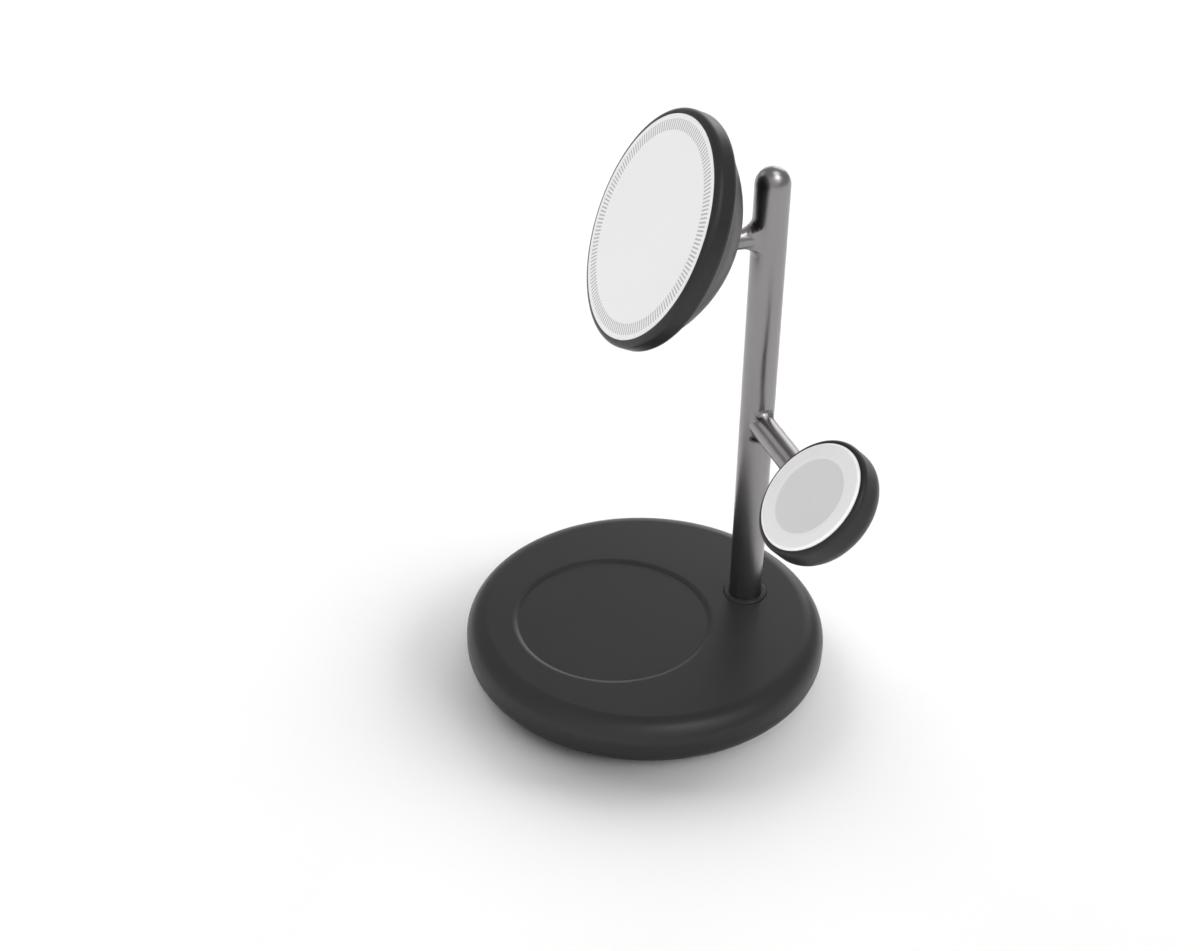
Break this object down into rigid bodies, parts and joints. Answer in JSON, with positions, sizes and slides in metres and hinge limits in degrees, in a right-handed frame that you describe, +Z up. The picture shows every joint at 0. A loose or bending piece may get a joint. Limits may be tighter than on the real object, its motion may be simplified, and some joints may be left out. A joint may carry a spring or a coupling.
{
  "type": "three-in-one wireless charger",
  "caption": "Wireless charging stand: a round weighted base with a shallow earbud place, a metal stem, a tilting magnetic phone disc and a tilting watch disc.",
  "frame": {"origin": "middle of the foot pad's underside, on the floor", "axes": "+Z up, -Y towards the front, where the phone disc faces, +X towards the watch disc"},
  "size_m": [0.1134, 0.1, 0.1578],
  "materials": {
    "base_black": "satin black",
    "head_black": "satin black",
    "rubber_black": "matt rubber",
    "stem_steel": "satin, polished",
    "plate_steel": "zinc plated",
    "screw_steel": "blackened",
    "socket_steel": "bright",
    "board_green": "solder mask",
    "chip_black": "moulded",
    "copper_wire": "enamelled copper wire",
    "ferrite_grey": "sintered",
    "magnet_nickel": "nickel plated",
    "carrier_grey": "moulded",
    "lead_black": "flexible sheath",
    "pad_white": "soft satin",
    "puck_white": "satin"
  },
  "bodies": {
    "stand": {"base_shell": "base_black", "bottom_cover": "base_black", "foot_pad": "rubber_black", "ballast_plate": "plate_steel", "cover_screw_1": "screw_steel", "cover_screw_2": "screw_steel", "cover_screw_3": "screw_steel", "cover_screw_4": "screw_steel", "main_board": "board_green", "board_chips": "chip_black", "board_screw_1": "screw_steel", "board_screw_2": "screw_steel", "board_screw_3": "screw_steel", "board_screw_4": "screw_steel", "usb_shell": "socket_steel", "usb_tongue": "chip_black", "earbud_coil": "copper_wire", "earbud_ferrite": "ferrite_grey", "stem": "stem_steel", "stem_collar": "base_black", "stem_plate": "plate_steel", "stem_washer": "plate_steel", "stem_nut": "plate_steel", "phone_lead": "lead_black", "watch_lead": "lead_black", "phone_pin_left": "plate_steel", "phone_pin_right": "plate_steel", "watch_spindle": "plate_steel"},
    "phone_head": {"phone_bezel": "head_black", "phone_pad": "pad_white", "phone_back": "head_black", "phone_carrier": "carrier_grey", "phone_magnets": "magnet_nickel", "phone_coil": "copper_wire", "phone_ferrite": "ferrite_grey", "phone_board": "board_green", "phone_screw_1": "screw_steel", "phone_screw_2": "screw_steel", "phone_screw_3": "screw_steel", "phone_screw_4": "screw_steel"},
    "watch_head": {"watch_housing": "head_black", "watch_puck": "puck_white", "watch_coil": "copper_wire", "watch_magnet": "magnet_nickel", "watch_ferrite": "ferrite_grey", "watch_board": "board_green", "watch_keeper": "plate_steel"}
  },
  "joints": [
    {"name": "phone_tilt", "type": "hinge", "parent": "stand", "child": "phone_head", "pos_m": [0, 0.01245, 0.1242], "axis": [1, 0, 0], "range_deg": [-15, 25]},
    {"name": "watch_tilt", "type": "hinge", "parent": "stand", "child": "watch_head", "pos_m": [0.0473, 0.0302, 0.0707], "axis": [1, 0, 0], "range_deg": [-45, 45]}
  ]
}
